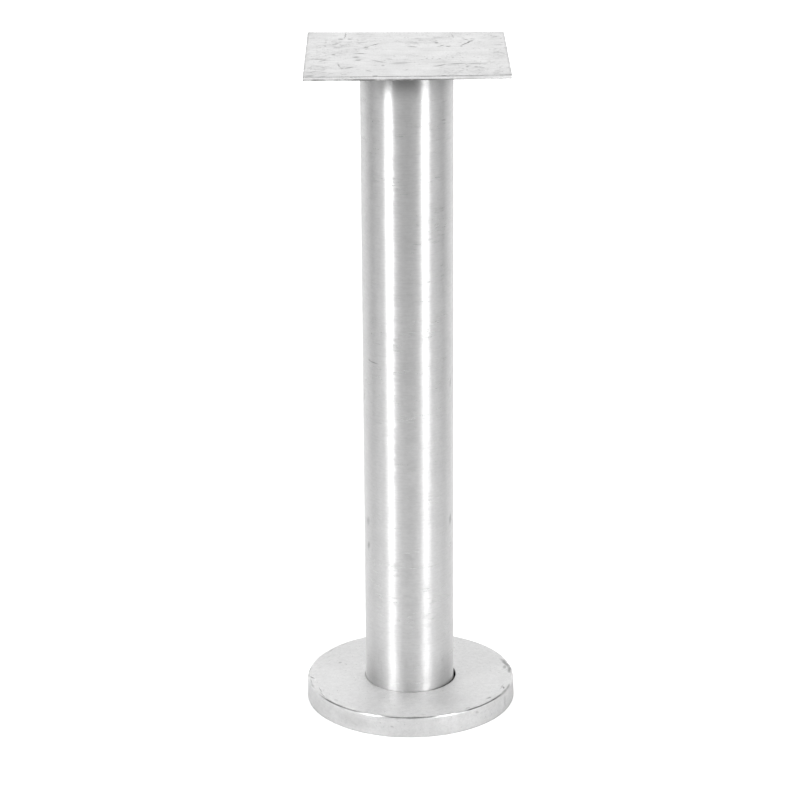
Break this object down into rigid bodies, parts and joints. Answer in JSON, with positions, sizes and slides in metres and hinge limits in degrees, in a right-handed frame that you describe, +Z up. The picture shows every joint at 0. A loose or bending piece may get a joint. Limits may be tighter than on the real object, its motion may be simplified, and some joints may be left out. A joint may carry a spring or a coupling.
{
  "type": "bollard post",
  "caption": "Short round stainless post with a square head plate, a bolt-down base flange, and a loose round cover flange that slides on the tube and hides the fixings.",
  "frame": {"origin": "on the post's axis at deck level, the centre of the fixing hole circle in the base flange's underside", "axes": "+Z up along the post, +X and +Y square to the sides of the head plate"},
  "size_m": [0.1425, 0.1425, 0.45],
  "materials": {
    "mill_steel": "unpolished mill finish with handling marks",
    "weld_metal": "cleaned weld bead",
    "brushed_tube": "fine brushed round the tube",
    "cut_steel": "cut plate, matt",
    "satin_cover": "satin, scuffed at the edge"
  },
  "bodies": {
    "post": {"head_plate": "mill_steel", "head_weld": "weld_metal", "post_tube": "brushed_tube", "base_flange": "cut_steel", "base_weld": "weld_metal"},
    "cover": {"cover_flange": "satin_cover"}
  },
  "joints": [
    {"name": "cover_lift", "type": "slide", "parent": "post", "child": "cover", "axis": [0, 0, 1], "range_m": [0, 0.428]}
  ]
}
